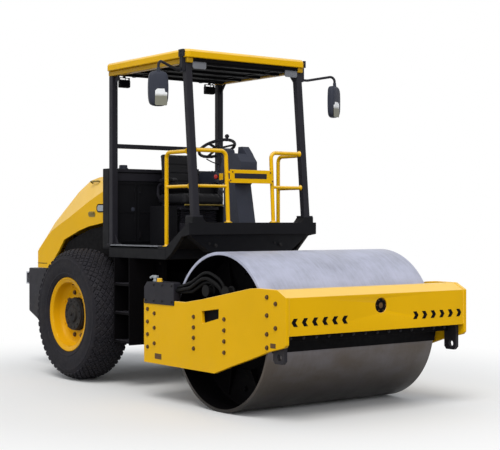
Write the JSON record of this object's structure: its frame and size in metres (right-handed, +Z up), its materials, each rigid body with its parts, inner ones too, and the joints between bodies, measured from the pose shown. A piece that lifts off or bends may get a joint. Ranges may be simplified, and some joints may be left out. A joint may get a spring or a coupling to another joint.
{
  "type": "road roller",
  "caption": "Ride-on vibratory soil roller: smooth steel drum in a hinged front frame, rubber-tyred rear wheels, open operator's platform under a roll-over roof.",
  "frame": {"origin": "middle of the machine's overall box, on the ground", "axes": "+X forward towards the drum, +Y to the machine's left, +Z up"},
  "size_m": [4.8, 2.0336, 2.871],
  "materials": {
    "black_frame": "satin",
    "yellow_paint": "gloss",
    "bare_steel": "worn",
    "cast_iron": "rough",
    "black_plastic": "matt",
    "seat_vinyl": "grained",
    "tyre_rubber": "matt"
  },
  "bodies": {
    "rear_frame": {"articulation_head": "black_frame", "steering_pin": "bare_steel", "chassis": "black_frame", "engine_block": "cast_iron", "rear_ballast": "black_frame", "tail_loops": "bare_steel", "tow_lug": "cast_iron", "rear_axle": "black_frame", "rear_tank": "black_frame", "hood_hinges": "cast_iron", "platform_floor": "black_frame", "platform_frame": "black_frame", "platform_front": "black_frame", "steps": "black_frame", "seat_base": "black_frame", "seat_cushion": "seat_vinyl", "seat_back": "seat_vinyl", "console": "black_frame", "steering_column": "black_frame", "steering_wheel": "black_plastic", "front_posts": "black_frame", "rear_posts": "black_frame", "rear_crossbar": "black_frame", "roof_side_members": "black_frame", "roof_liner": "black_frame", "roof_panel": "yellow_paint", "work_lamps": "black_plastic", "front_rails": "yellow_paint", "side_rails": "yellow_paint", "front_board": "yellow_paint", "mirror_arms": "black_frame", "mirrors": "black_plastic"},
    "left_wheel": {"left_tyre": "tyre_rubber", "left_rim": "yellow_paint", "left_hub": "black_frame"},
    "right_wheel": {"right_tyre": "tyre_rubber", "right_rim": "yellow_paint", "right_hub": "black_frame"},
    "centre_yoke": {"centre_yoke": "black_frame", "oscillation_shaft": "bare_steel"},
    "front_frame": {"left_side_plate": "yellow_paint", "right_side_plate": "yellow_paint", "front_beam": "yellow_paint", "rear_beam": "yellow_paint", "drum_supports": "black_frame", "front_scraper": "black_frame", "rear_scraper": "black_frame", "tie_down_lugs": "black_frame", "hose_cover": "black_plastic"},
    "drum": {"drum_shell": "bare_steel", "drum_heads": "black_frame", "drum_journals": "bare_steel", "exciter_housing": "cast_iron"},
    "left_steering_barrel": {"left_steering_barrel": "black_frame"},
    "right_steering_barrel": {"right_steering_barrel": "black_frame"},
    "left_steering_rod": {"left_steering_rod": "bare_steel"},
    "right_steering_rod": {"right_steering_rod": "bare_steel"},
    "hood": {"hood_shell": "yellow_paint"}
  },
  "joints": [
    {"name": "left_wheel_spin", "type": "hinge", "parent": "rear_frame", "child": "left_wheel", "pos_m": [-0.894, 0.67, 0.601], "axis": [0, 1, 0], "continuous": true},
    {"name": "right_wheel_spin", "type": "hinge", "parent": "rear_frame", "child": "right_wheel", "pos_m": [-0.894, -0.67, 0.601], "axis": [0, 1, 0], "continuous": true},
    {"name": "steer", "type": "hinge", "parent": "rear_frame", "child": "centre_yoke", "pos_m": [0.306, 0, 0.61], "axis": [0, 0, 1], "range_deg": [-35, 35]},
    {"name": "front_frame_roll", "type": "hinge", "parent": "centre_yoke", "child": "front_frame", "pos_m": [0.646, 0, 0.61], "axis": [1, 0, 0], "range_deg": [-12, 12]},
    {"name": "drum_spin", "type": "hinge", "parent": "front_frame", "child": "drum", "pos_m": [1.506, 0, 0.61], "axis": [0, 1, 0], "continuous": true},
    {"name": "hood_tilt", "type": "hinge", "parent": "rear_frame", "child": "hood", "pos_m": [-0.694, 0, 1.855], "axis": [0, 1, 0], "range_deg": [0, 45]},
    {"name": "left_barrel_swing", "type": "hinge", "parent": "rear_frame", "child": "left_steering_barrel", "pos_m": [-0.414, 0.27, 0.56], "axis": [0, 0, 1], "range_deg": [-3, 3]},
    {"name": "left_rod_slide", "type": "slide", "parent": "left_steering_barrel", "child": "left_steering_rod", "axis": [0.9985, -0.0546, 0], "range_m": [-0.135, 0.135]},
    {"name": "right_barrel_swing", "type": "hinge", "parent": "rear_frame", "child": "right_steering_barrel", "pos_m": [-0.414, -0.27, 0.56], "axis": [0, 0, 1], "range_deg": [-3, 3]},
    {"name": "right_rod_slide", "type": "slide", "parent": "right_steering_barrel", "child": "right_steering_rod", "axis": [0.9985, 0.0546, 0], "range_m": [-0.135, 0.135]}
  ],
  "couplings": [
    {"joint": "left_barrel_swing", "follows": "steer", "ratio": -0.0707},
    {"joint": "left_rod_slide", "follows": "steer", "m_per_rad": -0.2136},
    {"joint": "right_barrel_swing", "follows": "steer", "ratio": -0.0707},
    {"joint": "right_rod_slide", "follows": "steer", "m_per_rad": 0.2136}
  ]
}
